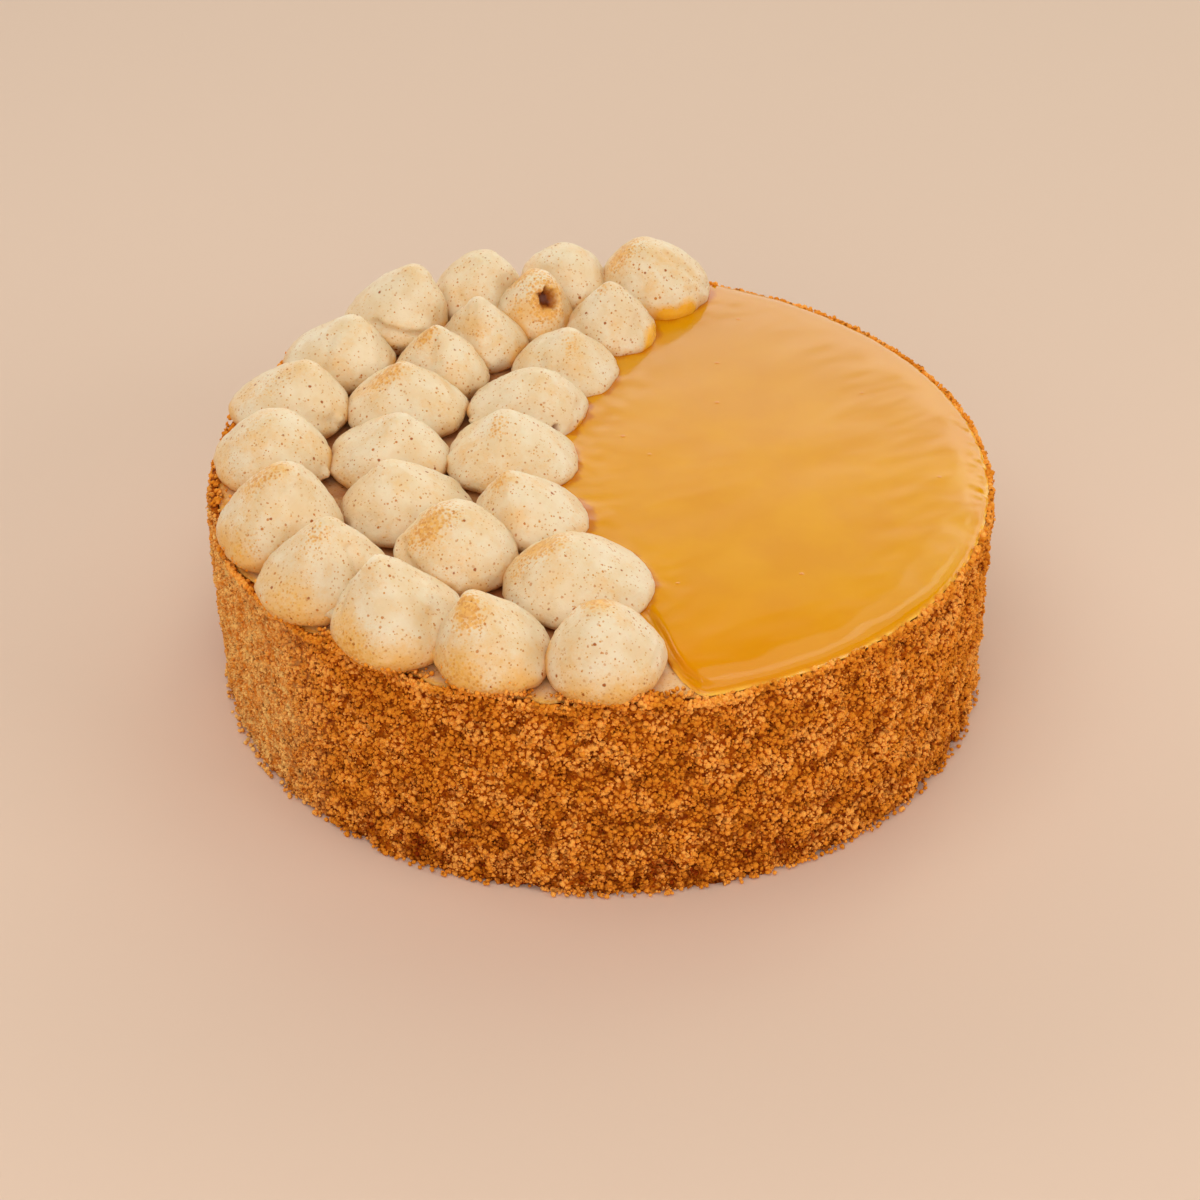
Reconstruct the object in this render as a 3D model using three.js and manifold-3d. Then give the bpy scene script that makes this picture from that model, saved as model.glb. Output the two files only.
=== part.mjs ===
// A round biscuit cake, 200 mm across. Its wall is coated in biscuit crumb, its top is spread with spiced cream,
// a poured amber glaze covers one side of the top, and three rows of piped cream dollops cover the other.
// Millimetres, +Z up. The origin is the centre of the flat foot; -Y is the side that faces the viewer.
import * as THREE from 'three';
import { mergeVertices } from 'three/addons/utils/BufferGeometryUtils.js';
import Module from 'manifold-3d';

const wasm = await Module();
wasm.setup();

const GAP = 0.3; // air left between pieces that touch
const TURN = 2 * Math.PI;

// ---- The crumb-coated drum ----
const RIM_RADIUS = 100.6;
const FOOT_RADIUS = 99.4;
const FOOT_SHIFT = 1.1; // the drum leans a little, so its foot lies this far towards +X
const RIM_ON_CREAM = 57.7; // the crumb stops just under the cream's surface at the front and beside the dollops
const RIM_ON_GLAZE = 60.1; // and stands nearly as high as the glaze behind it
const RIM_RAGGED = 0.35; // how much the rim goes up and down
const SHOULDER = 2.0; // rounding of the wall into the rim
const CRAG_DEPTH = 2.2; // how far the hollows between the crumb crags go in
const CRAGS_ROUND = 144;
const CRAGS_UP = 13;
const CRAG_JITTER = 0.24; // share of a cell that each crag strays sideways and upwards

// ---- The spread of cream ----
const CREAM_TOP = 58;
const CREAM_DEPTH = 3;
const CREAM_RADIUS = 97.4;

// ---- The poured glaze ----
const GLAZE_RADIUS = 97.9;
const GLAZE_TOP = 60.6;
const GLAZE_EDGE = 0.7; // roundness of the glaze's edge
const GLAZE_AT_RIM = 59.1; // the pool thins towards the rim, down to this height
const GLAZE_ROLL = 12; // over this width
const GLAZE_FROM = -76; // azimuths, in degrees, where its edge leaves the rim at the front and at the back
const GLAZE_TO = 74;
// the bare edge between the front dollop and the rim, where the glaze stops on the cream
const GLAZE_BARE_EDGE = [[23.5, -93.5], [19, -89.5], [16.5, -83], [14, -75], [11, -68]];

// ---- The piped dollops ----
// Each one: azimuth round the cake in degrees, distance from the cake's centre to the dollop's foot,
// radius, height, and how far the tip leans towards +X and +Y.
const OUTER_ROW = [
  [80.5, 87, 15.4, 19, -3, 0],
  [97, 85.5, 13.5, 18.5, 0, 0],
  [113, 86, 13.3, 19, 1, 0],
  [130, 87.5, 14.8, 20.8, 5.3, 0],
  [147, 84, 15.3, 17.2, 4.3, 0],
  [165, 84, 15.6, 17.5, 4.5, 0],
  [182, 83.5, 15, 17.7, 1.3, 0],
  [205, 86.5, 15.8, 23.8, 1.5, 0],
  [221, 87, 16.4, 22, 1, 0],
  [237, 87, 17, 22, -4, 0],
  [254, 87.5, 14.8, 20, -5.5, 0],
  [271, 88, 14.2, 19.8, -1, 0],
];
const MIDDLE_ROW = [
  [105, 72.5, 12.3, 18, 1, 0],
  [120, 64, 12.6, 18, -1, 0],
  [136, 59, 13.7, 17.5, -1, 0],
  [156, 55.5, 16.3, 17, -0.5, 0],
  [182, 53.5, 16, 16.7, 3, 0],
  [207, 53.5, 16.6, 17.2, -4.5, 0],
  [232, 56, 16, 17.7, -0.7, 0],
  [265, 56, 17.8, 16, -3, 0],
];
const INNER_ROW = [
  [88, 64.5, 12.8, 18, 0, 0],
  [103, 45, 14.8, 15.2, 1.5, 0],
  [130, 29.5, 16, 15.4, 2.5, 0],
  [182, 22.5, 17, 17.3, -1.7, 0],
  [239, 32.5, 14.4, 16.5, -5.5, 0],
];
// A dollop's outline from foot to tip: [share of its height, share of its radius].
const KISS = [[0, 0.91], [0.11, 0.985], [0.24, 1], [0.42, 0.88], [0.62, 0.65], [0.8, 0.4], [0.93, 0.2]];
const DOLLOP_SIDES = 18;
const SQUEEZE = 1.6; // how softly a dollop flattens against its neighbour
const WOBBLE = 0.035; // unevenness of a dollop's outline, as a share of its radius

const rad = THREE.MathUtils.degToRad;

// A seeded random generator, so that each build gives the same crags.
function seeded(seed) {
  let state = seed;
  return () => {
    state = (state * 1664525 + 1013904223) >>> 0;
    return state / 4294967296;
  };
}

function polar(azimuth, distance) {
  const a = rad(azimuth);
  return new THREE.Vector2(distance * Math.cos(a), distance * Math.sin(a));
}

// A BufferGeometry from points and triangles that index them.
function faceted(points, triangles) {
  const geometry = new THREE.BufferGeometry();
  geometry.setAttribute('position', new THREE.Float32BufferAttribute(points.flat(), 3));
  geometry.setIndex(triangles.flat());
  return geometry;
}

// Closes a stack of rings, each with the same number of points, from a centre point below to one above.
function closedStack(rings, below, above) {
  const sides = rings[0].length;
  const points = [...rings.flat(), below, above];
  const lowest = points.length - 2;
  const highest = points.length - 1;
  const at = (ring, side) => ring * sides + (side % sides);
  const triangles = [];
  for (let side = 0; side < sides; side++) {
    triangles.push([lowest, at(0, side + 1), at(0, side)]);
    for (let ring = 0; ring + 1 < rings.length; ring++) {
      const [a, b] = [at(ring, side), at(ring, side + 1)];
      const [c, d] = [at(ring + 1, side), at(ring + 1, side + 1)];
      if ((ring + side) % 2) triangles.push([a, b, c], [b, d, c]);
      else triangles.push([a, b, d], [a, d, c]);
    }
    triangles.push([highest, at(rings.length - 1, side), at(rings.length - 1, side + 1)]);
  }
  return faceted(points, triangles);
}

function solidOf(geometry) {
  const bare = geometry.clone();
  bare.deleteAttribute('normal');
  bare.deleteAttribute('uv');
  const merged = mergeVertices(bare);
  return new wasm.Manifold(new wasm.Mesh({
    numProp: 3,
    vertProperties: new Float32Array(merged.attributes.position.array),
    triVerts: new Uint32Array(merged.index.array),
  }));
}

function geometryOf(solid) {
  const mesh = solid.getMesh();
  const geometry = new THREE.BufferGeometry();
  geometry.setAttribute('position', new THREE.BufferAttribute(mesh.vertProperties, 3));
  geometry.setIndex(new THREE.BufferAttribute(mesh.triVerts, 1));
  return geometry;
}

function piece(name, geometry, colour, roughness) {
  geometry.computeVertexNormals();
  const finish = new THREE.MeshStandardMaterial({ color: colour, roughness, metalness: 0 });
  const mesh = new THREE.Mesh(geometry, finish);
  mesh.name = name;
  return mesh;
}

// How far the rim has risen beside the glaze: 0 at the front and beside the dollops, 1 at the back right.
function rimRise(azimuth) {
  const beside = THREE.MathUtils.smoothstep(Math.cos(azimuth - rad(GLAZE_TO - 80)), 0.15, 0.5);
  return beside * THREE.MathUtils.smoothstep(Math.sin(azimuth), -0.5, 0.4);
}

// ---- The drum: a craggy wall, a ragged rim and a shallow recess that holds the cream ----
function drum() {
  const random = seeded(7);
  const rings = [];
  const step = TURN / CRAGS_ROUND;
  const rimHeights = Array.from({ length: CRAGS_ROUND }, (_, side) => {
    const level = THREE.MathUtils.lerp(RIM_ON_CREAM, RIM_ON_GLAZE, rimRise(side * step));
    return level + RIM_RAGGED * (2 * random() - 1);
  });
  for (let ring = 0; ring < CRAGS_UP; ring++) {
    const inside = ring > 0 && ring < CRAGS_UP - 1;
    rings.push(rimHeights.map((rim, side) => {
      const up = (ring + (inside ? CRAG_JITTER * (2 * random() - 1) : 0)) / (CRAGS_UP - 1);
      const z = up * (rim - SHOULDER);
      const turn = (side + CRAG_JITTER * (2 * random() - 1)) * step;
      const crag = CRAG_DEPTH * ((ring + side) % 2 ? 0.3 * random() : 0.45 + 0.55 * random());
      const radius = THREE.MathUtils.lerp(FOOT_RADIUS, RIM_RADIUS, Math.min(1, up * 1.4)) - crag;
      const shift = FOOT_SHIFT * (1 - up);
      return [shift + radius * Math.cos(turn), radius * Math.sin(turn), z];
    }));
  }
  const band = (radius, height) => rimHeights.map((rim, side) => {
    const turn = side * step;
    return [radius * Math.cos(turn), radius * Math.sin(turn), height(rim)];
  });
  const recess = CREAM_RADIUS + GAP;
  const recessRim = GLAZE_RADIUS + GAP;
  rings.push(band(RIM_RADIUS - SHOULDER * 0.35, (rim) => rim - SHOULDER * 0.3));
  rings.push(band((RIM_RADIUS - SHOULDER + recessRim) / 2 + 0.55, (rim) => rim));
  rings.push(band(recessRim, (rim) => Math.min(rim, CREAM_TOP)));
  rings.push(band(recess, () => CREAM_TOP - CREAM_DEPTH - GAP));
  const floor = CREAM_TOP - CREAM_DEPTH - GAP;
  return closedStack(rings, [FOOT_SHIFT, 0, 0], [0, 0, floor]);
}

// ---- The cream spread over the whole top ----
function creamSpread() {
  const disc = new THREE.CylinderGeometry(CREAM_RADIUS, CREAM_RADIUS, CREAM_DEPTH, 72);
  disc.rotateX(Math.PI / 2);
  disc.translate(0, 0, CREAM_TOP - CREAM_DEPTH / 2);
  return disc;
}

// ---- One dollop: a soft kiss of cream, flattened where its neighbours press on it ----
function planDollops() {
  const rows = [OUTER_ROW, MIDDLE_ROW, INNER_ROW];
  return rows.flatMap((row) => row.map(([azimuth, distance, radius, height, leanX, leanY]) => ({
    foot: polar(azimuth, distance),
    radius,
    height,
    lean: new THREE.Vector2(leanX, leanY),
  })));
}

// The upright planes between a dollop and its neighbours: a direction and how far the dollop may reach along it.
function neighbourPlanes(dollop, all) {
  return all.filter((other) => other !== dollop).map((other) => {
    const across = other.foot.clone().sub(dollop.foot);
    const apart = across.length();
    const reach = (apart * apart + dollop.radius ** 2 - other.radius ** 2) / (2 * apart) - GAP / 2;
    return { direction: across.normalize(), reach };
  }).filter(({ reach }) => reach < dollop.radius * 1.6);
}

function softMin(a, b, softness) {
  const h = THREE.MathUtils.clamp(0.5 + (0.5 * (b - a)) / softness, 0, 1);
  return THREE.MathUtils.lerp(b, a, h) - softness * h * (1 - h);
}

function dollopRing(dollop, planes, share, width, phase) {
  const axis = dollop.foot.clone().addScaledVector(dollop.lean, share * share);
  const z = CREAM_TOP + GAP + share * dollop.height;
  return Array.from({ length: DOLLOP_SIDES }, (_, side) => {
    const turn = (side / DOLLOP_SIDES) * TURN;
    const out = new THREE.Vector2(Math.cos(turn), Math.sin(turn));
    const wobble = 1 + WOBBLE * (Math.sin(2 * turn + phase) + Math.sin(3 * turn + 2 * phase + 4 * share));
    let radius = dollop.radius * width * wobble;
    for (const { direction, reach } of planes) {
      const facing = direction.dot(out);
      if (facing < 0.05) continue;
      const limit = (reach - direction.dot(axis.clone().sub(dollop.foot))) / facing;
      radius = Math.max(0.2, softMin(radius, limit, SQUEEZE * width));
    }
    return [axis.x + radius * out.x, axis.y + radius * out.y, z];
  });
}

function dollopSolid(dollop, all, order) {
  const planes = neighbourPlanes(dollop, all);
  const rings = KISS.map(([share, width]) => dollopRing(dollop, planes, share, width, 1.7 * order));
  const tip = dollop.foot.clone().add(dollop.lean);
  const foot = [dollop.foot.x, dollop.foot.y, CREAM_TOP + GAP];
  return closedStack(rings, foot, [tip.x, tip.y, CREAM_TOP + GAP + dollop.height]);
}

// An upright prism round a dollop's widest outline, which keeps the glaze clear of it.
function dollopPrism(dollop, all, order) {
  const planes = neighbourPlanes(dollop, all);
  const grown = { ...dollop, radius: dollop.radius + GAP, lean: new THREE.Vector2() };
  const outline = dollopRing(grown, planes, 0, 1.03, 1.7 * order);
  const shape = new THREE.Shape(outline.map(([x, y]) => new THREE.Vector2(x, y)));
  const prism = new THREE.ExtrudeGeometry(shape, { depth: 20, bevelEnabled: false });
  prism.translate(0, 0, CREAM_TOP - 5);
  return solidOf(prism);
}

// The round lens that the pool's surface belongs to: flat in the middle and lower towards the rim.
function glazeLens() {
  const steps = 4;
  const above = GLAZE_TOP + 1;
  const outside = GLAZE_RADIUS + 1;
  const profile = [[0, 0], [outside, 0], [outside, GLAZE_AT_RIM]];
  for (let step = 0; step <= steps; step++) {
    const share = step / steps; // 0 at the rim, 1 where the surface is flat
    const height = GLAZE_TOP - (GLAZE_TOP - GLAZE_AT_RIM) * (1 - share) ** 2;
    profile.push([GLAZE_RADIUS - GLAZE_ROLL * share, height]);
  }
  profile.push([GLAZE_RADIUS - GLAZE_ROLL - 1, above], [0, above]);
  return new THREE.LatheGeometry(profile.map(([r, z]) => new THREE.Vector2(r, z)), 96).rotateX(Math.PI / 2);
}

// ---- The glaze: a pool between the rim and the dollops, with a rounded edge ----
function glazePool(dollops) {
  const middleOf = ([azimuth, distance]) => polar(azimuth, distance);
  const edge = GLAZE_RADIUS - GLAZE_EDGE;
  const shape = new THREE.Shape();
  const start = polar(GLAZE_FROM, edge);
  shape.moveTo(start.x, start.y);
  shape.absarc(0, 0, edge, rad(GLAZE_FROM), rad(GLAZE_TO), false);
  const behind = [OUTER_ROW[0], ...INNER_ROW, MIDDLE_ROW.at(-1)].map(middleOf);
  for (const point of behind) shape.lineTo(point.x, point.y);
  for (const [x, y] of [...GLAZE_BARE_EDGE].reverse()) shape.lineTo(x, y);
  const pool = new THREE.ExtrudeGeometry(shape, {
    depth: GLAZE_TOP - CREAM_TOP - GAP - GLAZE_EDGE,
    bevelEnabled: true,
    bevelThickness: GLAZE_EDGE,
    bevelSize: GLAZE_EDGE,
    bevelSegments: 2,
    curveSegments: 48,
  });
  pool.translate(0, 0, CREAM_TOP + GAP);
  const belowCream = new THREE.BoxGeometry(300, 300, 10).translate(0, 0, CREAM_TOP + GAP - 5);
  let solid = solidOf(pool).subtract(solidOf(belowCream)).intersect(solidOf(glazeLens()));
  dollops.forEach((dollop, order) => {
    solid = solid.subtract(dollopPrism(dollop, dollops, order));
  });
  const largest = solid.decompose().sort((a, b) => b.volume() - a.volume())[0];
  return geometryOf(largest);
}

const cake = new THREE.Group();
const dollops = planDollops();
cake.add(piece('crumb_cake', drum(), 0xb8692c, 0.95));
cake.add(piece('cream_spread', creamSpread(), 0xe6cda9, 0.6));
cake.add(piece('glaze', glazePool(dollops), 0xe39a2f, 0.12));
dollops.forEach((dollop, order) => {
  const name = `dollop_${String(order + 1).padStart(2, '0')}`;
  cake.add(piece(name, dollopSolid(dollop, dollops, order), 0xe8cfa4, 0.55));
});

export default cake;
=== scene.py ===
import math

import bpy
import numpy as np
from mathutils import Matrix, Vector, noise
from mathutils.bvhtree import BVHTree


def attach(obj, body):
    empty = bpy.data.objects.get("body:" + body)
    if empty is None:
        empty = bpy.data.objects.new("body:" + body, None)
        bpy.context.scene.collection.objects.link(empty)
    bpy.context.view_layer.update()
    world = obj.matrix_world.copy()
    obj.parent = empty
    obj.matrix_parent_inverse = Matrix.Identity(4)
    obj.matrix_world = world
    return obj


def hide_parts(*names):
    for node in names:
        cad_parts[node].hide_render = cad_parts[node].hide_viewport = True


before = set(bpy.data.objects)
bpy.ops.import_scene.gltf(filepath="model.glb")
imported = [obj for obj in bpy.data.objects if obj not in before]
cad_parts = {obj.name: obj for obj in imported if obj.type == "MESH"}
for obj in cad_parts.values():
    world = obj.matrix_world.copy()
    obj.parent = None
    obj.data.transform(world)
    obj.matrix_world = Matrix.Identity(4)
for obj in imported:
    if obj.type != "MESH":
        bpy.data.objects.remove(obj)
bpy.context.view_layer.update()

scene = bpy.context.scene
scene.view_settings.view_transform = "Standard"

# ---- Camera ----
# A 90 mm lens looks down at the cake from the front, at the photograph's angle, with its slight roll.
camera_data = bpy.data.cameras.new("camera")
camera_data.lens = 90
camera_data.sensor_width = 36
camera = bpy.data.objects.new("camera", camera_data)
scene.collection.objects.link(camera)
camera_reach = 0.80484
camera_rise = math.radians(36.58)
camera_tilt = math.radians(90 - 35.63)
camera_roll = math.radians(0.66)
camera_side = 0.000484
camera_place = (camera_side, -camera_reach * math.cos(camera_rise), camera_reach * math.sin(camera_rise))
camera_turn = Matrix.Rotation(camera_tilt, 4, "X") @ Matrix.Rotation(camera_roll, 4, "Z")
camera.matrix_world = Matrix.Translation(camera_place) @ camera_turn
scene.camera = camera

# ---- Crumb crust ----
# The wall of the cake: biscuit crumb pressed by hand onto a coat of cream, so it is craggy, with hollows
# between clumps of 3 to 6 mm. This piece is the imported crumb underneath. Loose grains are pressed on later.
MM = 0.001
RIM_RADIUS = 100.6
FOOT_RADIUS = 99.4
FOOT_SHIFT = 1.1
RIM_LOW = 57.7
RIM_HIGH = 59.0
CREAM_TOP = 58.0
CREAM_RADIUS = 97.4


def field(points, size, seed):
    """Smooth noise from about -1 to 1 at each point. Its lumps are as large as size, in mm."""
    shift = Vector((seed * 17.3, seed * 5.1, seed * 29.7))
    values = [noise.noise(Vector(p) / size + shift) for p in points.reshape(-1, 3)]
    return np.array(values).reshape(points.shape[:-1])


def ease(low, high, value):
    """0 at low, 1 at high, and a smooth step between."""
    t = np.clip((value - low) / (high - low), 0, 1)
    return t * t * (3 - 2 * t)


def around(radius, azimuth, height):
    """Points from cylinder coordinates, in mm and radians."""
    radius, azimuth, height = np.broadcast_arrays(radius, azimuth, height)
    return np.stack([radius * np.cos(azimuth), radius * np.sin(azimuth), height], axis=-1)


def rim_height(azimuth):
    """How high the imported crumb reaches: just under the cream, or as high as the glaze at the back."""
    beside = ease(0.15, 0.5, np.cos(azimuth + math.radians(6)))
    return RIM_LOW + (RIM_HIGH - RIM_LOW) * beside * ease(-0.5, 0.4, np.sin(azimuth))


def wall_centre(height):
    """The wall leans a little: its foot lies towards +X."""
    return FOOT_SHIFT * (1 - np.clip(height / RIM_LOW, 0, 1))


def wall_radius(height):
    """The outer face of the pressed crumb, which widens from the foot."""
    return FOOT_RADIUS + (RIM_RADIUS - FOOT_RADIUS) * np.clip(1.4 * height / RIM_LOW, 0, 1)


def pressed_flat(azimuth, height):
    """Where a hand has pressed the crumb smoother: the left side, and a streak down it where a finger ran."""
    degrees = np.degrees(azimuth) % 360
    side = ease(180, 196, degrees) * ease(232, 212, degrees)
    streak = np.exp(-(((degrees - 219 + 0.12 * (height - 40)) / 1.3) ** 2)) * ease(16, 30, height)
    return np.maximum(0.75 * side, streak)


def clumps(face):
    """How far the pressed crumb stands out, in mm: clumps, and the hollows where some have dropped out."""
    return 1.3 * field(face, 6.5, 1) + 0.9 * field(face, 3.0, 2) - 1.3 * ease(0.2, 0.42, field(face, 3.6, 6))


def uncovered(azimuth):
    """1 where the rim is bare of crumb, between the feet of the front dollops, and 0 elsewhere."""
    degrees = np.degrees(azimuth) % 360
    bare = np.zeros_like(degrees)
    for gap, half in ((208, 4.5), (225.5, 3.0), (248, 3.2), (263, 2.5), (286, 3.5)):
        bare = np.maximum(bare, np.exp(-(((degrees - gap) / half) ** 2)))
    return bare


def add_mesh(name, points, faces):
    """A mesh object from points in mm."""
    mesh = bpy.data.meshes.new(name)
    mesh.from_pydata((np.asarray(points) * MM).tolist(), [], np.asarray(faces).tolist())
    mesh.polygons.foreach_set("use_smooth", [True] * len(mesh.polygons))
    made = bpy.data.objects.new(name, mesh)
    scene.collection.objects.link(made)
    return made


def ring_faces(rings, sides):
    """Triangles of a closed stack of rings, with a point below the first and a point above the last."""
    side = np.arange(sides)
    after = (side + 1) % sides
    below, above = rings * sides, rings * sides + 1
    faces = [np.stack([np.full(sides, below), after, side], axis=1)]
    for ring in range(rings - 1):
        a, b = ring * sides + side, ring * sides + after
        c, d = a + sides, b + sides
        faces += [np.stack([a, b, d], axis=1), np.stack([a, d, c], axis=1)]
    last = (rings - 1) * sides
    faces.append(np.stack([np.full(sides, above), last + side, last + after], axis=1))
    return np.concatenate(faces)


def add_stack(name, rings, below, above):
    """A closed solid from an array of rings [ring, side, xyz]."""
    points = np.concatenate([rings.reshape(-1, 3), [below], [above]])
    return add_mesh(name, points, ring_faces(rings.shape[0], rings.shape[1]))


def set_values(made, name, values):
    """Keeps one number for each point of a mesh, for its material to read."""
    kept = made.data.attributes.new(name, "FLOAT", "POINT")
    kept.data.foreach_set("value", np.asarray(values, dtype=float))


def linear(colour):
    """An sRGB hex colour as the linear colour that a socket takes."""
    parts = [int(colour[i:i + 2], 16) / 255 for i in (0, 2, 4)]
    return tuple(c / 12.92 if c <= 0.04045 else ((c + 0.055) / 1.055) ** 2.4 for c in parts) + (1,)


def add_node(material, kind, inputs, **settings):
    """Adds one node: settings are its own properties, and inputs are values or other nodes' outputs."""
    added = material.node_tree.nodes.new("ShaderNode" + kind)
    for name, value in settings.items():
        setattr(added, name, value)
    for name, value in inputs.items():
        if isinstance(value, bpy.types.NodeSocket):
            material.node_tree.links.new(value, added.inputs[name])
        else:
            added.inputs[name].default_value = value
    return added


CRUST_SIDES = 460
CRUST_LEVELS = 42
CRUST_BELOW = 1.5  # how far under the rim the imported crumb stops, and how far inside the wall's face it lies
CRUST_INSIDE = 1.0
CREAM_BOTTOM = CREAM_TOP - 3.0
crust_azimuth = np.linspace(0, 2 * math.pi, CRUST_SIDES, endpoint=False)[None, :]
crust_rim = rim_height(crust_azimuth)
crust_share = np.linspace(0, 1, CRUST_LEVELS)[:, None]
crust_height = crust_share * (crust_rim - CRUST_BELOW)
crust_face = around(wall_radius(crust_height), crust_azimuth, crust_height)
crust_flat = pressed_flat(crust_azimuth, crust_height)
crust_radius = wall_radius(crust_height) - CRUST_INSIDE + (1 - 0.5 * crust_flat) * clumps(crust_face)
crust_radius += 0.4 * crust_flat
crust_rings = around(crust_radius, crust_azimuth, crust_height)
crust_rings[..., 0] += wall_centre(crust_height)
# the ledge inside the rim, which ends under the cream
ledge = np.minimum(crust_rim - 0.3, CREAM_TOP)
crust_top = np.concatenate([
    around(RIM_RADIUS - 1.1, crust_azimuth, ledge - 0.9),
    around(RIM_RADIUS - 1.9, crust_azimuth, ledge - 0.6),
    around(CREAM_RADIUS + 0.4, crust_azimuth, ledge - 0.5),
    around(CREAM_RADIUS + 0.3, crust_azimuth, CREAM_BOTTOM - 0.3),
])
crust = add_stack(
    "crumb_crust", np.concatenate([crust_rings, crust_top]), (FOOT_SHIFT, 0, 0), (0, 0, CREAM_BOTTOM - 0.3)
)
set_values(crust, "pressed", np.concatenate([crust_flat.ravel(), np.zeros(4 * CRUST_SIDES + 2)]))


def crumb_material(name, deep, light, low, high, pitting):
    """Toasted biscuit crumb: dull and porous, so it hardly shines. Painted shade makes it red-brown where it
    is buried and golden where it stands out, and its small pores are painted dark as the shade in them. Where
    it is pressed flat it is paler. It turns from deep to light as the sum of how far it stands out and its
    grit goes from low to high."""
    made = bpy.data.materials.new(name)
    made.use_nodes = True
    here = add_node(made, "TexCoord", {}).outputs["Object"]
    grit = add_node(made, "TexNoise", {"Vector": here, "Scale": 1000 / 0.7, "Detail": 3.0})
    # painted shade: how far a grain stands out sets how dark it is painted
    cavity_shade_value = add_node(made, "Attribute", {}, attribute_name="cavity_shade")
    mixed = add_node(made, "Math", {0: cavity_shade_value.outputs["Fac"], 1: grit.outputs["Fac"]}, operation="ADD")
    steps = add_node(made, "MapRange", {"Value": mixed.outputs["Value"], "From Min": low, "From Max": high})
    tint = add_node(
        made, "Mix", {0: steps.outputs["Result"], 6: linear(deep), 7: linear(light)}, data_type="RGBA"
    )
    # paler and mottled where it is pressed flat
    mottle = add_node(
        made, "TexNoise", {"Vector": here, "Scale": 1000 / 3.2, "Detail": 5.0, "Roughness": 0.8}
    )
    mottle_steps = add_node(
        made, "MapRange", {"Value": mottle.outputs["Fac"], "From Min": 0.42, "From Max": 0.57}
    )
    mottled = add_node(
        made, "Mix", {0: mottle_steps.outputs["Result"], 6: linear("E08628"), 7: linear("FFD27C")},
        data_type="RGBA",
    )
    pressed = add_node(made, "Attribute", {}, attribute_name="pressed")
    paler = add_node(
        made, "Mix", {0: pressed.outputs["Fac"], 6: tint.outputs[2], 7: mottled.outputs[2]}, data_type="RGBA"
    )
    # pores, 0.5 to 0.8 mm, painted dark as the shade in them
    wander = add_node(made, "TexNoise", {"Vector": here, "Scale": 1000 / 1.0, "Detail": 2.0})
    shifted = add_node(made, "VectorMath", {0: wander.outputs["Color"], "Scale": 0.8 * MM}, operation="SCALE")
    uneven = add_node(made, "VectorMath", {0: here, 1: shifted.outputs["Vector"]}, operation="ADD")
    pores = add_node(made, "TexVoronoi", {"Vector": uneven.outputs["Vector"], "Scale": 1000 / 1.9})
    pore_edge = add_node(
        made, "MapRange", {"Value": pores.outputs["Distance"], "From Min": 0.34, "From Max": 0.2}
    )
    pore_depth = add_node(
        made, "Math", {0: pressed.outputs["Fac"], 1: -0.5 * pitting, 2: pitting}, operation="MULTIPLY_ADD"
    )
    pore_amount = add_node(
        made, "Math", {0: pore_edge.outputs["Result"], 1: pore_depth.outputs["Value"]}, operation="MULTIPLY"
    )
    pores_shaded = add_node(
        made, "Mix", {0: pore_amount.outputs["Value"], 6: paler.outputs[2], 7: linear("782800")},
        data_type="RGBA",
    )
    relief = add_node(
        made, "Math", {0: grit.outputs["Fac"], 1: pore_edge.outputs["Result"]}, operation="SUBTRACT"
    )
    bump = add_node(made, "Bump", {"Height": relief.outputs["Value"], "Strength": 0.7, "Distance": 0.3 * MM})
    shader = made.node_tree.nodes["Principled BSDF"]
    shader.inputs["Roughness"].default_value = 0.8
    shader.inputs["Specular IOR Level"].default_value = 0.08
    made.node_tree.links.new(pores_shaded.outputs[2], shader.inputs["Base Color"])
    made.node_tree.links.new(bump.outputs["Normal"], shader.inputs["Normal"])
    return made


crust.data.materials.append(crumb_material("pressed_biscuit_crumb", "8E3400", "CA6E0C", 0.35, 0.65, 0.9))
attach(crust, "root")
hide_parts("crumb_cake")

# ---- Cream spread ----
# A thin coat of spiced cream, spread over the top with a palette knife, so it is nearly flat with faint
# drags. It shows between the outer dollops and the crumb, and in the wedge that the glaze leaves bare.
SPREAD_SIDES = 360
SPREAD_BARE = 2.9  # how much further it reaches where the rim is bare of crumb
SPREAD_ROLL = [0.05, 0.15, 0.35]  # how far its outermost rings roll down
spread_azimuth = np.linspace(0, 2 * math.pi, SPREAD_SIDES, endpoint=False)[None, :]
spread_reach = CREAM_RADIUS + 0.4 * field(around(CREAM_RADIUS, spread_azimuth, 0.0), 7.0, 3)
spread_reach = spread_reach + SPREAD_BARE * uncovered(spread_azimuth)
spread_shares = [0.3, 0.6, 0.8, 0.86, 0.89, 0.91, 0.93, 0.945, 0.96, 0.97, 0.98, 0.99, 0.996]
spread_flat = around(np.array(spread_shares)[:, None] * spread_reach, spread_azimuth, CREAM_TOP)
spread_flat[..., 2] += 0.3 * field(spread_flat, 9.0, 3) + 0.16 * field(spread_flat, 3.0, 4)
spread_flat[-3:, :, 2] -= np.array(SPREAD_ROLL)[:, None]
spread_side = [
    around(CREAM_RADIUS - 0.1, spread_azimuth, CREAM_BOTTOM),
    around(CREAM_RADIUS + 0.1, spread_azimuth, CREAM_TOP - 1.0),
]
spread_rings = np.concatenate(spread_side + [spread_flat[::-1]])
spread = add_stack("cream_coat", spread_rings, (0, 0, CREAM_BOTTOM), (0, 0, CREAM_TOP))


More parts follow.
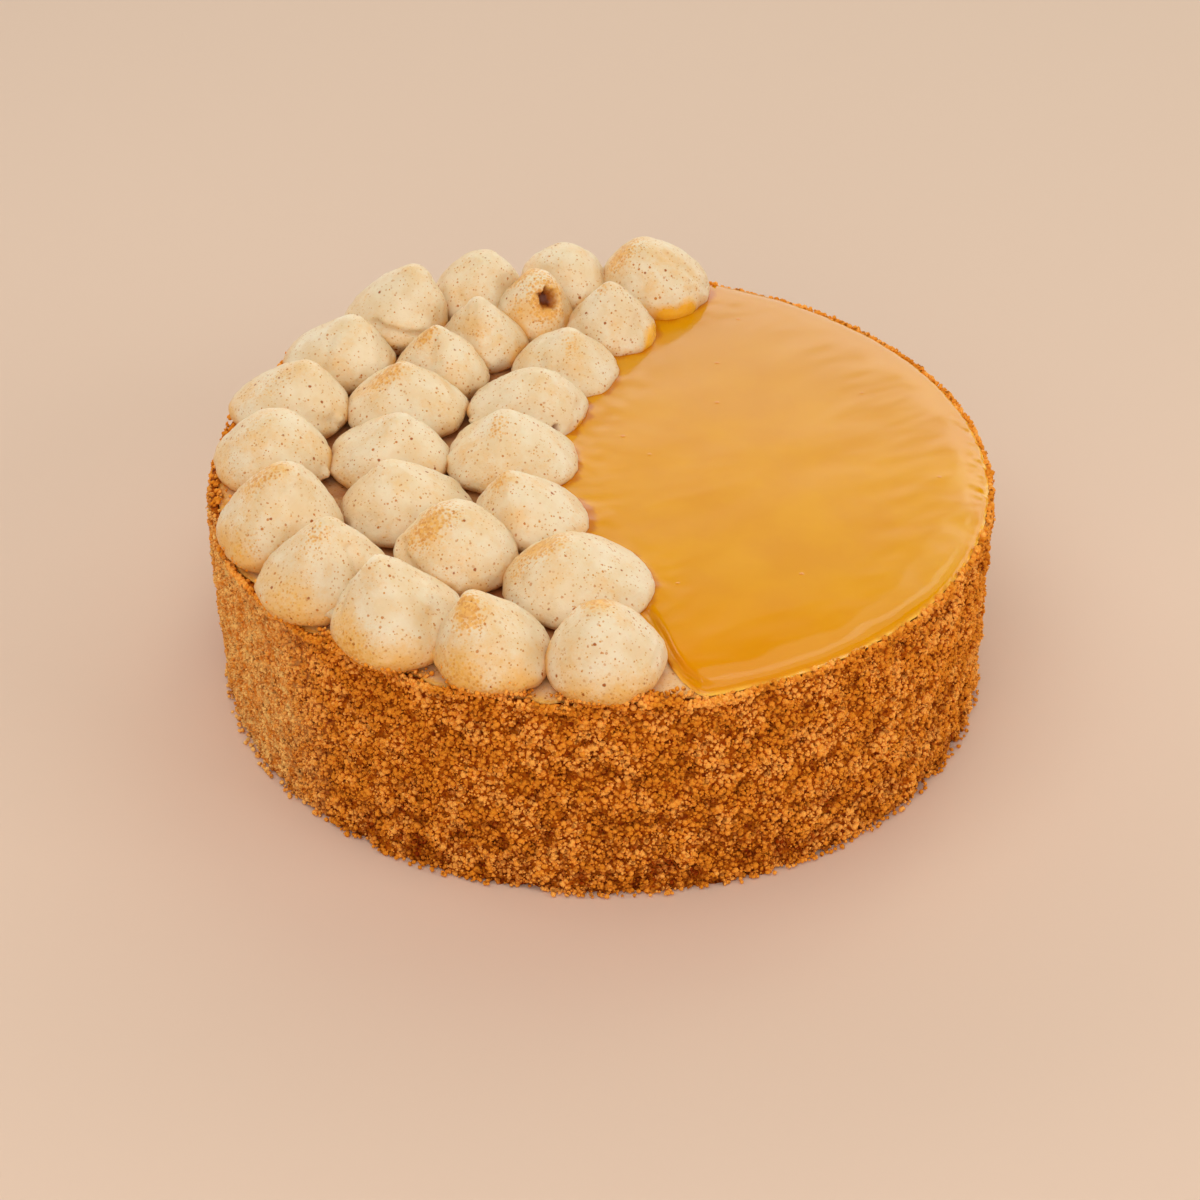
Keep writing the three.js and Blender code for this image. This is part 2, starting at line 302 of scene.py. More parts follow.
def cream_material(name, deep, light):
    """Whipped spiced cream: a matt, softly translucent beige. Fine ground spice is all through it, with
    tiny air holes painted dark as their shade. Biscuit dust clings to it in patches, and glaze has stained
    some feet. Painted warm shade makes it more golden low down and in creases, and painted brown shade
    darkens its hollows."""
    made = bpy.data.materials.new(name)
    made.use_nodes = True
    here = add_node(made, "TexCoord", {}).outputs["Object"]
    cloud = add_node(made, "TexNoise", {"Vector": here, "Scale": 1000 / 7, "Detail": 3.0})
    base = add_node(made, "ValToRGB", {"Fac": cloud.outputs["Fac"]})
    base.color_ramp.elements[0].position = 0.38
    base.color_ramp.elements[0].color = linear(deep)
    base.color_ramp.elements[1].position = 0.62
    base.color_ramp.elements[1].color = linear(light)
    grain = add_node(
        made, "TexNoise", {"Vector": here, "Scale": 1000 / 0.9, "Detail": 3.0, "Roughness": 0.65}
    )
    # golden in streaky patches, and painted warm shade low down, in creases and near the crumb
    streaks = add_node(
        made, "TexNoise", {"Vector": here, "Scale": 1000 / 2.4, "Detail": 5.0, "Roughness": 0.75}
    )
    gold_and_warm_shade = add_node(made, "Attribute", {}, attribute_name="gold_and_warm_shade")
    gold_grain = add_node(made, "Math", {0: gold_and_warm_shade.outputs["Fac"], 1: streaks.outputs["Fac"]}, operation="ADD")
    gold_amount = add_node(
        made, "MapRange",
        {"Value": gold_grain.outputs["Value"], "From Min": 0.5, "From Max": 1.05, "To Max": 0.9},
    )
    gilded = add_node(
        made, "Mix", {0: gold_amount.outputs["Result"], 6: base.outputs["Color"], 7: linear("ECB25C")},
        data_type="RGBA",
    )
    # ground spice in two grinds of uneven flakes, 0.3 to 0.7 mm
    wander = add_node(made, "TexNoise", {"Vector": here, "Scale": 1000 / 0.8, "Detail": 2.0})
    shifted = add_node(
        made, "VectorMath", {0: wander.outputs["Color"], "Scale": 0.45 * MM}, operation="SCALE"
    )
    flaky = add_node(made, "VectorMath", {0: here, 1: shifted.outputs["Vector"]}, operation="ADD")
    speckled = gilded
    for cell, wide, flake in ((1.5, 0.19, "C67410"), (0.95, 0.21, "D28A16")):
        spice = add_node(made, "TexVoronoi", {"Vector": flaky.outputs["Vector"], "Scale": 1000 / cell})
        spice_split = add_node(made, "SeparateColor", {"Color": spice.outputs["Color"]})
        spice_width = add_node(
            made, "MapRange",
            {"Value": spice_split.outputs["Green"], "To Min": 0.3 * wide, "To Max": 1.35 * wide},
        )
        spice_gap = add_node(
            made, "Math", {0: spice_width.outputs["Result"], 1: spice.outputs["Distance"]},
            operation="SUBTRACT",
        )
        spice_edge = add_node(
            made, "MapRange", {"Value": spice_gap.outputs["Value"], "From Min": -0.03, "From Max": 0.03}
        )
        spice_depth = add_node(
            made, "MapRange", {"Value": spice_split.outputs["Red"], "To Min": 0.3, "To Max": 0.95}
        )
        spice_amount = add_node(
            made, "Math", {0: spice_edge.outputs["Result"], 1: spice_depth.outputs["Result"]},
            operation="MULTIPLY",
        )
        speckled = add_node(
            made, "Mix", {0: spice_amount.outputs["Value"], 6: speckled.outputs[2], 7: linear(flake)},
            data_type="RGBA",
        )
    # air holes, 0.8 mm, painted dark as the shade in them
    holes = add_node(made, "TexVoronoi", {"Vector": flaky.outputs["Vector"], "Scale": 1000 / 5.0})
    hole_edge = add_node(
        made, "MapRange", {"Value": holes.outputs["Distance"], "From Min": 0.1, "From Max": 0.06}
    )
    holes_shaded = add_node(
        made, "Mix", {0: hole_edge.outputs["Result"], 6: speckled.outputs[2], 7: linear("A85600")},
        data_type="RGBA",
    )
    # biscuit dust: separate grains, close together in the middle of a patch
    dust = add_node(made, "Attribute", {}, attribute_name="dust")
    dust_grain = add_node(made, "TexVoronoi", {"Vector": flaky.outputs["Vector"], "Scale": 1000 / 0.8})
    dust_reach = add_node(made, "Math", {0: dust.outputs["Fac"], 1: 1.15}, operation="MULTIPLY")
    dust_split = add_node(made, "SeparateColor", {"Color": dust_grain.outputs["Color"]})
    dust_tint = add_node(
        made, "Mix", {0: dust_split.outputs["Red"], 6: linear("DA8C24"), 7: linear("F0B452")},
        data_type="RGBA",
    )
    dust_gap = add_node(
        made, "Math", {0: dust_reach.outputs["Value"], 1: dust_grain.outputs["Distance"]},
        operation="SUBTRACT",
    )
    dust_amount = add_node(
        made, "MapRange",
        {"Value": dust_gap.outputs["Value"], "From Min": -0.05, "From Max": 0.3, "To Max": 0.85},
    )
    dusted = add_node(
        made, "Mix", {0: dust_amount.outputs["Result"], 6: holes_shaded.outputs[2], 7: dust_tint.outputs[2]},
        data_type="RGBA",
    )
    # stains of glaze
    smear = add_node(made, "Attribute", {}, attribute_name="smear")
    smear_sum = add_node(made, "Math", {0: smear.outputs["Fac"], 1: cloud.outputs["Fac"]}, operation="ADD")
    smear_amount = add_node(
        made, "MapRange", {"Value": smear_sum.outputs["Value"], "From Min": 0.75, "From Max": 1.1}
    )
    smeared = add_node(
        made, "Mix", {0: smear_amount.outputs["Result"], 6: dusted.outputs[2], 7: linear("F4B02C")},
        data_type="RGBA",
    )
    # painted shade: brown in the hollows where little light reaches, and dark at the bottom of a hole
    hollow_shade = add_node(made, "Attribute", {}, attribute_name="hollow_shade")
    crease_shaded = add_node(
        made, "Mix", {0: hollow_shade.outputs["Fac"], 6: smeared.outputs[2], 7: linear("984400")}, data_type="RGBA"
    )
    hollow = add_node(
        made, "MapRange", {"Value": hollow_shade.outputs["Fac"], "From Min": 0.85, "From Max": 1.0, "To Max": 0.8}
    )
    hollowed = add_node(
        made, "Mix", {0: hollow.outputs["Result"], 6: crease_shaded.outputs[2], 7: linear("5E2800")},
        data_type="RGBA",
    )
    shine = add_node(
        made, "MapRange", {"Value": smear_amount.outputs["Result"], "To Min": 0.4, "To Max": 0.12}
    )
    dents = add_node(made, "Math", {0: grain.outputs["Fac"], 1: streaks.outputs["Fac"]}, operation="ADD")
    bump = add_node(made, "Bump", {"Height": dents.outputs["Value"], "Strength": 0.8, "Distance": 0.25 * MM})
    shader = made.node_tree.nodes["Principled BSDF"]
    shader.inputs["Specular IOR Level"].default_value = 0.35
    shader.inputs["Subsurface Weight"].default_value = 0.2
    shader.inputs["Subsurface Radius"].default_value = (1.0, 0.6, 0.35)
    shader.inputs["Subsurface Scale"].default_value = 2.0 * MM
    made.node_tree.links.new(hollowed.outputs[2], shader.inputs["Base Color"])
    made.node_tree.links.new(shine.outputs["Result"], shader.inputs["Roughness"])
    made.node_tree.links.new(bump.outputs["Normal"], shader.inputs["Normal"])
    return made


# The coat is the same cream scraped thin over the crumb, in darker and a little pinker colours that are
# painted shade.
spread.data.materials.append(cream_material("scraped_cream_painted_shade", "DDB48A", "E9C8A2"))
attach(spread, "root")
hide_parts("cream_spread")

# ---- Cream dollops ----
# Stiffly whipped spiced cream, piped through a large plain nozzle in three rows and pulled away, which leaves
# a soft peak. Each dollop is pressed flat where it meets its neighbours.
DOLLOP_SIDES = 80
DOLLOP_LEVELS = 34
DOLLOP_SUNK = 0.2  # how far each has sunk into the cream
WIDEST = 0.235  # the share of its height where a dollop is widest
# The two ways that a piped kiss can end, from foot to tip: shares of its height, and its radius there as a
# share of the widest. A blunt one is a dome. A drawn one is a cone with a rounded tip.
BLUNT = ([0, 0.05, 0.12, 0.22, 0.36, 0.5, 0.63, 0.75, 0.85, 0.93, 0.97, 0.99, 1],
         [0.83, 0.91, 0.97, 1.0, 0.98, 0.905, 0.8, 0.67, 0.53, 0.38, 0.26, 0.155, 0])
DRAWN = ([0, 0.05, 0.11, 0.18, 0.28, 0.4, 0.52, 0.64, 0.75, 0.84, 0.91, 0.965, 0.99, 1],
         [0.84, 0.92, 0.975, 1.0, 0.955, 0.845, 0.71, 0.56, 0.415, 0.295, 0.205, 0.13, 0.075, 0])
# How far each is drawn to a peak, from 0, blunt, to 1:
USUAL_PEAK = 0.85
PEAKS = {
    "dollop_01": 0.2, "dollop_02": 0.0, "dollop_03": 0.2, "dollop_04": 0.6, "dollop_05": 0.7,
    "dollop_06": 0.7, "dollop_07": 0.4, "dollop_08": 0.6, "dollop_09": 0.9, "dollop_10": 0.9,
    "dollop_11": 0.75, "dollop_12": 0.3, "dollop_13": 0.1, "dollop_19": 0.35, "dollop_20": 0.7,
    "dollop_23": 0.6,
}
# How much lower two of them have settled, in mm:
SETTLED = {"dollop_02": 1.3, "dollop_03": 0.7}
# What the nozzle and the fingers left on single dollops is placed by azimuth in degrees and share of height.
# Patches of biscuit dust [azimuth, share, radius in mm, strength]:
DUST = {
    "dollop_01": [(190, 0.8, 7, 0.7)],
    "dollop_06": [(200, 0.7, 7, 0.35)],
    "dollop_07": [(200, 0.8, 7, 0.35), (220, 0.3, 9, 0.3)],
    "dollop_08": [(190, 0.88, 6, 0.7), (235, 0.3, 9, 0.45)],
    "dollop_09": [(240, 0.9, 5, 0.5), (240, 0.3, 8, 0.45)],
    "dollop_10": [(228, 0.1, 10, 0.7)],
    "dollop_11": [(240, 0.9, 6, 0.85), (240, 0.18, 9, 0.7)],
    "dollop_12": [(110, 0.9, 6.5, 0.8), (150, 0.75, 4, 0.6)],
    "dollop_13": [(170, 0.88, 5, 0.8), (295, 0.7, 7, 0.9), (235, 0.6, 5, 0.5)],
    "dollop_14": [(262, 0.6, 3.5, 0.4)],
    "dollop_15": [(180, 0.86, 5, 0.75)],
    "dollop_16": [(190, 0.86, 6, 0.75)],
    "dollop_17": [(150, 0.9, 3, 0.4)],
    "dollop_18": [(150, 0.92, 4, 0.35)],
    "dollop_19": [(215, 0.82, 6.5, 0.75), (255, 0.3, 5, 0.4)],
    "dollop_20": [(170, 0.8, 6.5, 0.8), (190, 0.6, 5, 0.5)],
    "dollop_21": [(200, 0.94, 3, 0.6)],
    "dollop_22": [(280, 0.85, 3.5, 0.45)],
    "dollop_24": [(240, 0.9, 3.5, 0.55), (250, 0.2, 6, 0.4)],
    "dollop_25": [(180, 0.85, 5, 0.6)],
}
# Flicks of cream that the nozzle pulled out [azimuth, share, length in mm]:
FLICKS = {
    "dollop_06": [(330, 0.3, 1.4)],
    "dollop_07": [(335, 0.2, 2.2)],
    "dollop_10": [(183, 0.3, 2.4)],
    "dollop_11": [(188, 0.22, 2.2)],
    "dollop_12": [(185, 0.22, 1.4)],
    "dollop_24": [(190, 0.3, 1.5)],
    "dollop_23": [(205, 0.25, 2.2)],
}
# Folds [azimuth, share, azimuth, share, depth in mm]:
FOLDS = {
    "dollop_01": [(330, 0.85, 345, 0.35, 0.5)],
    "dollop_04": [(240, 0.42, 300, 0.3, 1.3)],
    "dollop_05": [(235, 0.8, 250, 0.4, 0.5)],
    "dollop_06": [(280, 0.55, 320, 0.3, 0.7)],
    "dollop_09": [(330, 0.7, 320, 0.3, 0.5)],
    "dollop_10": [(160, 0.9, 200, 0.45, 1.0)],
    "dollop_19": [(195, 0.5, 262, 0.2, 1.0)],
    "dollop_20": [(20, 0.85, 330, 0.3, 0.4)],
    "dollop_22": [(200, 0.8, 230, 0.5, 0.7)],
}
# Holes [azimuth, share, radius in mm], and the deepest that one goes:
HOLE_DEPTH = 3.6
HOLES = {
    "dollop_13": [(300, 0.72, 3.4)],
    "dollop_23": [(303, 0.32, 1.2)],
}
# Stains of glaze on the feet [azimuth, share, radius in mm]:
STAINS = {
    "dollop_01": [(285, 0.12, 5.5), (305, 0.14, 5)],
    "dollop_21": [(330, 0.1, 5), (348, 0.12, 5.5)],
    "dollop_22": [(330, 0.05, 2.5)],
    "dollop_23": [(335, 0.08, 3)],
    "dollop_24": [(330, 0.04, 2.5)],
}


def read_dollop(name):
    """Reads a CAD dollop: its foot and tip, and how wide it is on each side at its widest level."""
    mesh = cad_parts[name].data
    points = np.empty(len(mesh.vertices) * 3)
    mesh.vertices.foreach_get("co", points)
    points = points.reshape(-1, 3) / MM
    tree = BVHTree.FromPolygons(points.tolist(), [list(p.vertices) for p in mesh.polygons])
    tip = points[points[:, 2].argmax()]
    foot = points[points[:, 2] < points[:, 2].min() + 0.1].mean(axis=0)
    turn = np.linspace(0, 2 * math.pi, DOLLOP_SIDES, endpoint=False)
    start = Vector(foot + (tip - foot) * [0.06, 0.06, WIDEST])
    rays = [Vector((math.cos(a), math.sin(a), 0)) for a in turn]
    reach = np.array([(tree.ray_cast(start, ray)[0] - start).length for ray in rays])
    return {"name": name, "tip": tip, "foot": foot, "turn": turn, "reach": reach}


def round_off(values, width):
    """A running mean round a closed row of values, which takes off the CAD's facets."""
    steps = np.arange(-3 * width, 3 * width + 1)
    weights = np.exp(-0.5 * (steps / width) ** 2)
    return sum(w * np.roll(values, k) for w, k in zip(weights, steps)) / weights.sum()


def away_from(dollop, points):
    """How far points are from a dollop's middle, and how wide it is on that side, both in mm."""
    away = points[..., :2] - dollop["foot"][:2]
    facing = np.arctan2(away[..., 1], away[..., 0]) % (2 * math.pi)
    wide = np.interp(facing, dollop["turn"], dollop["reach"], period=2 * math.pi)
    return np.hypot(away[..., 0], away[..., 1]), wide


dollop_names = sorted(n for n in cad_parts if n.startswith("dollop_"))
dollops = [read_dollop(name) for name in dollop_names]
whipped_cream = cream_material("whipped_spiced_cream", "E9CA9B", "EED8B3")
for order, dollop in enumerate(dollops):
    name, turn, foot, tip = (dollop[key] for key in ("name", "turn", "foot", "tip"))
    reach = round_off(dollop["reach"], 3)
    fullest = np.percentile(reach, 90)
    reach = reach * 1.01 + 0.15 + 0.45 * np.clip(fullest - reach, 0, 2.5)
    share = 1 - (1 - np.linspace(0, 1, DOLLOP_LEVELS)) ** 1.2
    drawn = PEAKS.get(name, USUAL_PEAK)
    width = (1 - drawn) * np.interp(share, *BLUNT) + drawn * np.interp(share, *DRAWN)
    tall = tip[2] - foot[2] - SETTLED.get(name, 0)
    axis = foot[:2] + (tip - foot)[:2] * share[:, None] ** 1.8
    out = np.stack([np.cos(turn), np.sin(turn)], axis=-1)
    rings = np.empty((DOLLOP_LEVELS, DOLLOP_SIDES, 3))
    rings[..., :2] = axis[:, None, :] + (width[:, None] * reach)[..., None] * out[None]
    rings[..., 2] = (foot[2] - DOLLOP_SUNK + tall * share)[:, None]
    # lumps, and faint ridges that run up to the peak
    push = 0.8 * field(rings, 8.5, 10 + order) + 0.5 * field(rings * [1, 1, 0.5], 4.2, 40 + order)
    push += 0.28 * field(rings, 1.9, 80 + order)
    push *= ease(0.0, 0.35, width)[:, None]
    turned = np.degrees(turn)[None, :]
    level = share[:, None]
    girth = np.maximum(width, 0.15)[:, None] * fullest

    def off(azimuth, at):
        """Distance in mm from a place on this dollop, along its surface."""
        sideways = np.radians((turned - azimuth + 180) % 360 - 180) * girth
        return np.hypot(sideways, (level - at) * tall * 1.15)

    for azimuth, at, length in FLICKS.get(name, []):
        push = push + length * np.exp(-(off(azimuth, at) / 1.0) ** 2)
    for azimuth, at, azimuth_end, at_end, depth in FOLDS.get(name, []):
        path = np.min([
            off(azimuth + k * (azimuth_end - azimuth), at + k * (at_end - at)) for k in np.linspace(0, 1, 16)
        ], axis=0)
        push = push - depth * np.exp(-(path / 1.3) ** 2) + 0.4 * depth * np.exp(-((path - 2.6) / 1.4) ** 2)
    rings[..., :2] += push[..., None] * out[None]

    # biscuit dust in its patches and outside the rim, gold in patches and round the dust, and painted warm
    # shade low down and near the crumb of the rim
    dust = np.zeros((DOLLOP_LEVELS, DOLLOP_SIDES))
    for azimuth, at, wide, strength in DUST.get(name, []):
        dust = np.maximum(dust, strength * np.exp(-(off(azimuth, at) / wide) ** 2))
    outward = np.hypot(rings[..., 0], rings[..., 1])
    dust = np.maximum(dust, 0.6 * ease(95, 101, outward) * ease(67, 59, rings[..., 2]))
    gold_and_warm_shade = 0.35 * ease(0.4, 0.0, level) + 0.3 * field(rings, 7.0, 120 + order)
    gold_and_warm_shade = gold_and_warm_shade + 0.25 * ease(92, 101, outward) * ease(74, 62, rings[..., 2]) + 0.4 * dust
    # the deep creases against its neighbours, which take painted warm shade and painted brown shade
    crease = np.full(dust.shape, 99.0)
    for other in dollops:
        if other is not dollop:
            away, wide = away_from(other, rings)
            crease = np.minimum(crease, away - wide * width[:, None])
    gold_and_warm_shade = gold_and_warm_shade + 0.5 * ease(2.0, 0.2, crease)
    smear = np.zeros_like(dust)
    for azimuth, at, wide in STAINS.get(name, []):
        smear = np.maximum(smear, np.exp(-(off(azimuth, at) / wide) ** 2))
    # painted brown shade in the deep creases
    hollow_shade = 0.4 * ease(0.7, -0.2, crease)
    # holes that burst bubbles left, with ragged edges
    inward = np.concatenate(
        [np.repeat(-out[None], DOLLOP_LEVELS, axis=0), np.full(dust.shape + (1,), -0.5)], axis=-1
    )
    for azimuth, at, wide in HOLES.get(name, []):
        middle = rings[np.abs(share - at).argmin(), np.abs(turned[0] - azimuth).argmin()]
        ragged = np.linalg.norm(rings - middle, axis=-1) + 0.4 * wide * field(rings, 1.6, 90)
        inside = ease(wide, 0.6 * wide, ragged)
        rings = rings + (inside * min(2.0 * wide, HOLE_DEPTH))[..., None] * inward
        # painted dark shade at the bottom of each hole
        hollow_shade = np.maximum(hollow_shade, ease(1.1 * wide, 0.6 * wide, ragged))
    below = (foot[0], foot[1], foot[2] - DOLLOP_SUNK)
    made = add_stack("cream_" + name, rings[:-1], below, rings[-1].mean(axis=0))
    for label, values in (("dust", dust), ("gold_and_warm_shade", gold_and_warm_shade), ("smear", smear), ("hollow_shade", hollow_shade)):
        set_values(made, label, np.concatenate([values[:-1].ravel(), [0.0], [values[-1].mean()]]))
    made.data.materials.append(whipped_cream)
    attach(made, "root")
    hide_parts(name)
    dollop["rings"] = rings

# The coat between three dollops lies in a deep hollow, painted brown as shade.
coat_points = np.concatenate([spread_rings.reshape(-1, 3), np.zeros((2, 3))])
closed_in = np.zeros(len(coat_points))
for dollop in dollops:
    away, wide = away_from(dollop, coat_points)
    closed_in += np.exp(-np.clip(away - wide, 0, 30) / 2.0)
coat_out = np.hypot(coat_points[:, 0], coat_points[:, 1])
set_values(spread, "hollow_shade", 0.8 * ease(0.7, 1.3, closed_in) * ease(93, 87, coat_out))
# Where its edge is bare it is dusted with crumb, and all of the coat takes some painted warm shade, more
# towards that edge.
spread_edge = coat_out[:-2].reshape(-1, SPREAD_SIDES)
spread_dust = ease(3.0, 0.6, spread_reach - spread_edge)
set_values(spread, "dust", np.concatenate([0.9 * spread_dust.ravel(), [0.0, 0.0]]))
set_values(spread, "gold_and_warm_shade", np.concatenate([0.3 + 0.5 * spread_dust.ravel(), [0.0, 0.0]]))

# ---- Glaze ----
# Amber fruit glaze, poured warm over one side of the top. It levels itself into a glossy pool about 2.5 mm
# deep, thins out towards the rim and over the bare cream, and creeps a little way up the feet of the dollops.
GLAZE_RADIUS = 99.5
GLAZE_TOP = 60.5
GLAZE_EDGE = 1.2
GLAZE_SIDES = 560
ROLL_OFF = 1.8  # how much lower its rim is, and over what length it falls
ROLL_REACH = 3.2
CLIMB = 0.18  # how far it creeps up a foot, and over what length
CLIMB_REACH = 1.1
RIM_FROM = -76  # the part of the rim that it covers, in degrees of azimuth
RIM_TO = 74
POOL_MIDDLE = 10  # how many rings fill its middle
pool_centre = np.array([45.0, 0.0])
# its outline: round the rim, under the feet of the dollops behind it, and back along the bare cream
rim_turns = np.radians(np.linspace(RIM_FROM, RIM_TO, 76))
pool_line = [(GLAZE_RADIUS * math.cos(a), GLAZE_RADIUS * math.sin(a)) for a in rim_turns]
behind = ["dollop_01", "dollop_21", "dollop_22", "dollop_23", "dollop_24", "dollop_25", "dollop_20"]
pool_line += [tuple(d["foot"][:2]) for name in behind for d in dollops if d["name"] == name]
bare_from = len(pool_line)
pool_line += [(11, -68), (14, -75), (16.5, -83), (19, -89.5)]
pool_line = np.array(pool_line)
# how far that outline lies from the middle on each side, and where it is the bare cream's
pool_turn = np.linspace(0, 2 * math.pi, GLAZE_SIDES, endpoint=False)
pool_out = np.stack([np.cos(pool_turn), np.sin(pool_turn)], axis=-1)
pool_reach = np.zeros(GLAZE_SIDES)
pool_bare = np.zeros(GLAZE_SIDES)
for order, (start, end) in enumerate(zip(pool_line, np.roll(pool_line, -1, axis=0))):
    along, offset = end - start, start - pool_centre
    cross = pool_out[:, 0] * along[1] - pool_out[:, 1] * along[0]
    with np.errstate(divide="ignore", invalid="ignore"):
        reach = (offset[0] * along[1] - offset[1] * along[0]) / cross
        share = (offset[0] * pool_out[:, 1] - offset[1] * pool_out[:, 0]) / cross
    hit = (reach > 0) & (share >= -1e-9) & (share <= 1 + 1e-9)
    pool_bare = np.where(hit & (reach > pool_reach), float(order >= bare_from), pool_bare)
    pool_reach = np.where(hit, np.maximum(pool_reach, reach), pool_reach)
pool_reach = round_off(pool_reach, 1)
pool_reach += 0.35 * field(around(99.0, pool_turn, 0.0), 2.4, 74)
pool_bare = round_off(pool_bare, 3)
# its rings lie closest together where the edge rounds off
from_edge = np.concatenate([[0, 0.04, 0.14, 0.3, 0.55, 0.9, 1.4, 2, 2.6, 3.2, 3.8], np.arange(4.6, 26, 0.9)])
pool_rings = [pool_centre + pool_out * (pool_reach - inset)[:, None] for inset in from_edge]
for share in np.linspace(0.92, 0.05, POOL_MIDDLE):
    pool_rings.append(pool_centre + pool_out * ((pool_reach - from_edge[-1]) * share)[:, None])
pool_rings = np.concatenate([np.array(pool_rings), np.zeros((len(pool_rings), GLAZE_SIDES, 1))], axis=-1)
inset = np.concatenate([from_edge, np.full(POOL_MIDDLE, 99.0)])[:, None]
from_rim = GLAZE_RADIUS - np.hypot(pool_rings[..., 0], pool_rings[..., 1])
pool_height = GLAZE_TOP - ROLL_OFF * np.exp(-np.clip(from_rim, 0, 30) / ROLL_REACH)
# the step near the bare cream, where a thin skirt has crept out from under the pool
skirt = pool_bare[None] * ease(4.4, 2.4, inset)
pool_height = pool_height - skirt * (pool_height - CREAM_TOP - 0.9)
# slow swells from the pouring, and small puckers where the rim's grains show through
slant = pool_rings @ np.array([[0.5, -0.87, 0], [0.87, 0.5, 0], [0, 0, 1]]).T * [1, 0.45, 1]
pool_height += 0.05 * field(slant, 12.0, 70) + (0.008 + 0.016 * ease(30, 8, from_rim)) * field(slant, 3.2, 72)
beside = ease(0.87, 0.97, np.cos(pool_turn - 0.1))[None]
pool_height += (0.05 + 0.5 * beside) * field(pool_rings * [0.6, 1, 1], 2.4, 73) * ease(6.0, 1.0, from_rim)
pool_height += 0.035 * field(slant, 5.0, 71) * ease(50, 15, from_rim)
pool_height += 0.2 * field(pool_rings, 9.0, 76) * ease(14.0, 4.0, from_rim)
# painted shade: a browner fringe in the glaze round the dollops' feet
foot_shade = np.zeros_like(pool_height)
nearest = np.full_like(pool_height, 99.0)
for dollop in dollops:
    away, wide = away_from(dollop, pool_rings)
    gap = away - wide
    pool_height += CLIMB * np.exp(-np.clip(gap, 0, 9) / CLIMB_REACH) * (gap < 8)
    nearest = np.minimum(nearest, gap)
    foot_shade = np.maximum(foot_shade, ease(1.9, 0.4, gap + 1.8 * field(pool_rings, 3.5, 75)))
pool_height += 0.05 * field(pool_rings, 4.5, 77) * ease(14, 3, nearest)
depth = (pool_height - CREAM_TOP) * np.sqrt(1 - (1 - np.clip(inset / GLAZE_EDGE, 0, 1)) ** 2)
pool_rings[..., 2] = CREAM_TOP + 0.3 + np.maximum(depth - 0.3, 0)
glaze = add_stack("poured_glaze", pool_rings, (*pool_centre, CREAM_TOP + 0.2), (*pool_centre, GLAZE_TOP))
thin = ease(1.1, 0.5, pool_rings[..., 2] - CREAM_TOP)
set_values(glaze, "thin", np.concatenate([thin.ravel(), [1.0, 0.0]]))
set_values(glaze, "brown", np.concatenate([foot_shade.ravel(), [0.0, 0.0]]))

# Poured fruit glaze: clear amber over pale cream. Deep, it is a saturated orange-amber, and where it thins
# out the cream shines through and turns it yellow. It has a wet gloss and a few bubbles.
glaze_shade = bpy.data.materials.new("poured_amber_glaze")
glaze_shade.use_nodes = True
here = add_node(glaze_shade, "TexCoord", {}).outputs["Object"]
drift = add_node(glaze_shade, "TexNoise", {"Vector": here, "Scale": 1000 / 16, "Detail": 3.0})
amber = add_node(glaze_shade, "ValToRGB", {"Fac": drift.outputs["Fac"]})
amber.color_ramp.elements[0].position = 0.35
amber.color_ramp.elements[0].color = linear("DD9200")
amber.color_ramp.elements[1].position = 0.7
amber.color_ramp.elements[1].color = linear("E39B00")
# painted shade: a little more orange along the front, and a little darker towards the back
parts = add_node(glaze_shade, "SeparateXYZ", {"Vector": here})
front = add_node(
    glaze_shade, "MapRange", {"Value": parts.outputs["Y"], "From Min": -0.05, "From Max": -0.1}
)
front_shaded = add_node(
    glaze_shade, "Mix",
    {0: front.outputs["Result"], 6: amber.outputs["Color"], 7: linear("DF8900")}, data_type="RGBA",
)
rear = add_node(
    glaze_shade, "MapRange", {"Value": parts.outputs["Y"], "From Min": 0.0, "From Max": 0.09}
)
rear_shaded = add_node(
    glaze_shade, "Mix",
    {0: rear.outputs["Result"], 6: front_shaded.outputs[2], 7: linear("D38C00")}, data_type="RGBA",
)
thinness = add_node(glaze_shade, "Attribute", {}, attribute_name="thin")
layered = add_node(
    glaze_shade, "Mix",
    {0: thinness.outputs["Fac"], 6: rear_shaded.outputs[2], 7: linear("FFC048")}, data_type="RGBA",
)
# painted shade: browner round the dollops' feet
foot_shade_amount = add_node(glaze_shade, "Attribute", {}, attribute_name="brown")
foot_shaded = add_node(
    glaze_shade, "Mix",
    {0: foot_shade_amount.outputs["Fac"], 6: layered.outputs[2], 7: linear("C67200")}, data_type="RGBA",
)
bubbles = add_node(glaze_shade, "TexVoronoi", {"Vector": here, "Scale": 1000 / 11})
bubble_edge = add_node(
    glaze_shade, "MapRange", {"Value": bubbles.outputs["Distance"], "From Min": 0.07, "From Max": 0.03}
)
freckled = add_node(
    glaze_shade, "Mix",
    {0: bubble_edge.outputs["Result"], 6: foot_shaded.outputs[2], 7: linear("DA8408")}, data_type="RGBA",
)
ripple = add_node(
    glaze_shade, "Bump", {"Height": bubble_edge.outputs["Result"], "Strength": 0.5, "Distance": 0.1 * MM}
)
shader = glaze_shade.node_tree.nodes["Principled BSDF"]
shader.inputs["Roughness"].default_value = 0.1
shader.inputs["IOR"].default_value = 1.38
shader.inputs["Subsurface Weight"].default_value = 0.15
shader.inputs["Subsurface Radius"].default_value = (1.0, 0.6, 0.1)
shader.inputs["Subsurface Scale"].default_value = 1.5 * MM
glaze_shade.node_tree.links.new(freckled.outputs[2], shader.inputs["Base Color"])
glaze_shade.node_tree.links.new(ripple.outputs["Normal"], shader.inputs["Normal"])
glaze.data.materials.append(glaze_shade)
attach(glaze, "root")
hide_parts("glaze")

